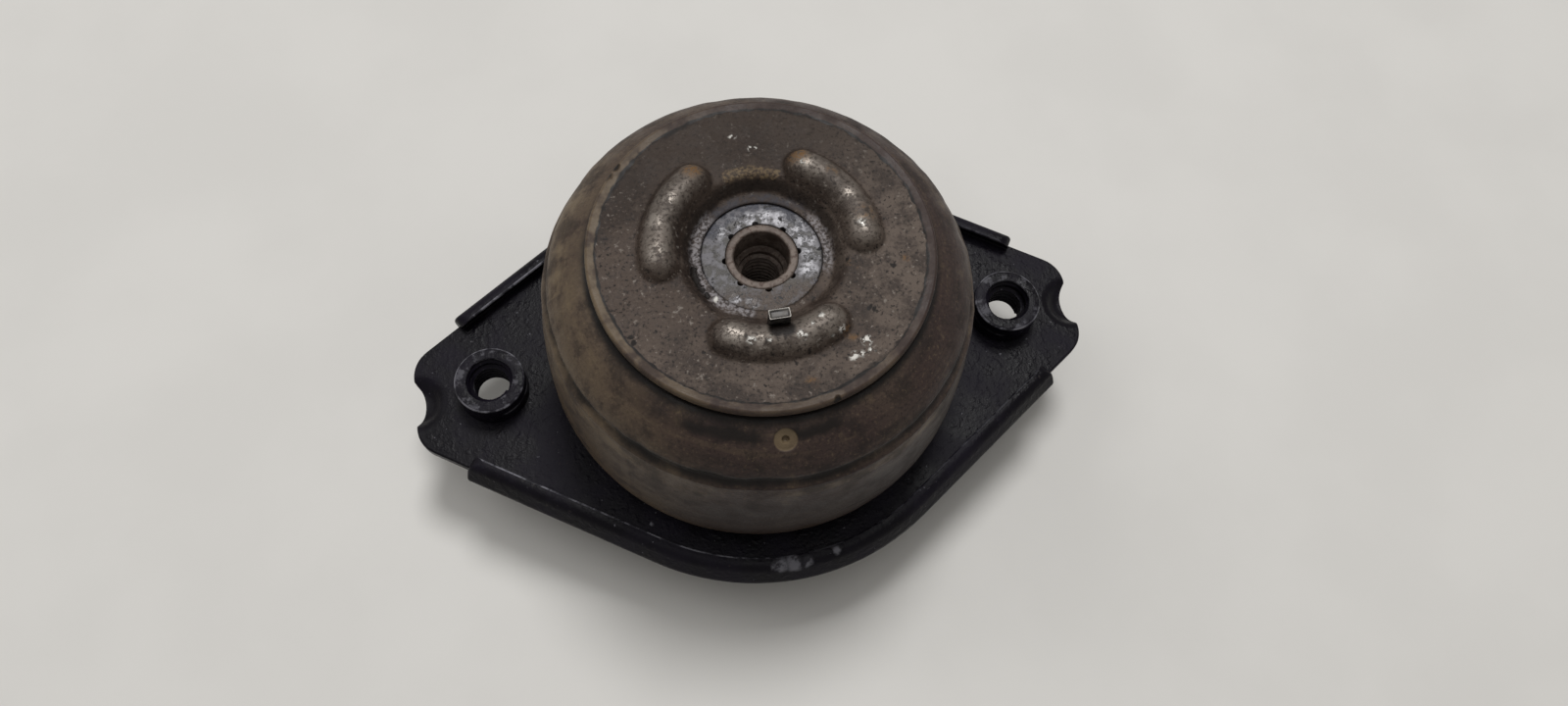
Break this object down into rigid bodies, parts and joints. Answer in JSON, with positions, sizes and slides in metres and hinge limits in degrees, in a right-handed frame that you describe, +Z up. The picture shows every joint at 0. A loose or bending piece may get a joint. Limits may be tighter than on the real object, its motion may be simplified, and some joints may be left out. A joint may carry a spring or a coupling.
{
  "type": "hydraulic engine mount",
  "caption": "Rubber drum bonded to a diamond-shaped flange plate with threaded bosses, closed by a pressed steel cap round a threaded core, with a fluid damper below.",
  "frame": {"origin": "on the drum's axis, at the underside of the base can", "axes": "+Z up along the drum's axis towards the cap, +X from the drum's axis towards the right boss"},
  "size_m": [0.1684, 0.117, 0.0845],
  "materials": {
    "coated_steel": "thin black dip coat, satin, pitted",
    "boss_steel": "thin black dip coat, worn at the edges",
    "ring_steel": "black dip coat",
    "spring_rubber": "dusty brown-black natural rubber",
    "cap_steel": "worn, stained and lightly rusted bare steel",
    "core_aluminium": "machined, with white corrosion",
    "bush_steel": "brown rust film",
    "key_steel": "worn steel",
    "track_aluminium": "die cast",
    "soft_rubber": "plain moulded rubber",
    "insert_steel": "plain steel"
  },
  "bodies": {
    "root": {"flange_plate": "coated_steel", "boss_left": "boss_steel", "boss_right": "boss_steel", "outer_ring": "ring_steel", "ring_weld": "ring_steel", "base_can": "ring_steel", "rolling_diaphragm": "soft_rubber", "diaphragm_insert": "insert_steel", "lower_track_plate": "track_aluminium", "upper_track_plate": "track_aluminium", "decoupler_membrane": "soft_rubber", "main_spring": "spring_rubber", "top_cap": "cap_steel", "core": "core_aluminium", "core_bush": "bush_steel", "locating_key": "key_steel"}
  },
  "joints": []
}
